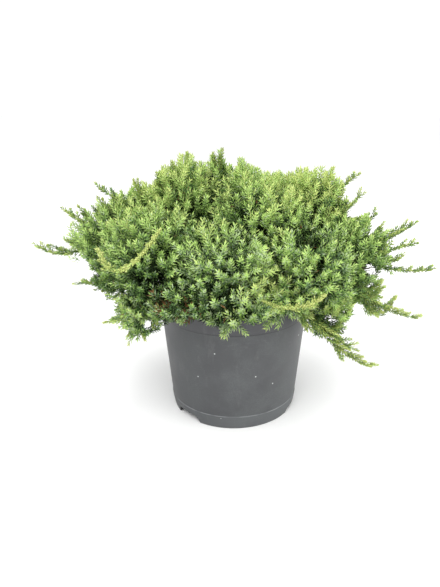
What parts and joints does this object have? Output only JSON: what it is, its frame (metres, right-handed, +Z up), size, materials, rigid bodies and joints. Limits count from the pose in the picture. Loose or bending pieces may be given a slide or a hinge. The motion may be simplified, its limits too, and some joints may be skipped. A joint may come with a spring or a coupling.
{
  "type": "potted juniper",
  "caption": "Low mounded garden juniper with short upright needled shoots and a few long whips, growing in a round tapered nursery pot.",
  "frame": {"origin": "centre of the pot's flat underside, on the surface that it stands on", "axes": "+Z up along the pot's axis; -Y towards the front of the plant, +X to the right as seen from the front"},
  "size_m": [0.4544, 0.3514, 0.3012],
  "materials": {
    "pot_plastic": "dark grey moulded plastic, satin, lightly scuffed",
    "compost": "dark moist potting compost, rough",
    "bark": "thin flaking reddish-brown bark",
    "needles": "fresh yellow-green to blue-green needles"
  },
  "bodies": {
    "root": {"bough_crest_back_left": "bark", "bough_crest_back_right": "bark", "bough_crest_front": "bark", "bough_crest_left": "bark", "bough_crest_middle": "bark", "bough_crest_right": "bark", "bough_shoulder_back": "bark", "bough_shoulder_back_left": "bark", "bough_shoulder_back_right": "bark", "bough_shoulder_front": "bark", "bough_shoulder_front_left": "bark", "bough_shoulder_front_right": "bark", "bough_shoulder_left": "bark", "bough_shoulder_left_back": "bark", "bough_shoulder_right": "bark", "bough_skirt_back": "bark", "bough_skirt_back_left": "bark", "bough_skirt_back_right": "bark", "bough_skirt_front": "bark", "bough_skirt_front_left": "bark", "bough_skirt_front_right": "bark", "bough_skirt_left": "bark", "bough_skirt_left_back": "bark", "bough_skirt_left_low": "bark", "bough_skirt_right": "bark", "bough_skirt_right_low": "bark", "foliage_crest_back_left": "needles", "foliage_crest_back_right": "needles", "foliage_crest_front": "needles", "foliage_crest_left": "needles", "foliage_crest_middle": "needles", "foliage_crest_right": "needles", "foliage_shoulder_back": "needles", "foliage_shoulder_back_left": "needles", "foliage_shoulder_back_right": "needles", "foliage_shoulder_front": "needles", "foliage_shoulder_front_left": "needles", "foliage_shoulder_front_right": "needles", "foliage_shoulder_left": "needles", "foliage_shoulder_left_back": "needles", "foliage_shoulder_right": "needles", "foliage_skirt_back": "needles", "foliage_skirt_back_left": "needles", "foliage_skirt_back_right": "needles", "foliage_skirt_front": "needles", "foliage_skirt_front_left": "needles", "foliage_skirt_front_right": "needles", "foliage_skirt_left": "needles", "foliage_skirt_left_back": "needles", "foliage_skirt_left_low": "needles", "foliage_skirt_right": "needles", "foliage_skirt_right_low": "needles", "pot": "pot_plastic", "root_ball": "compost", "trunk": "bark"}
  },
  "joints": []
}
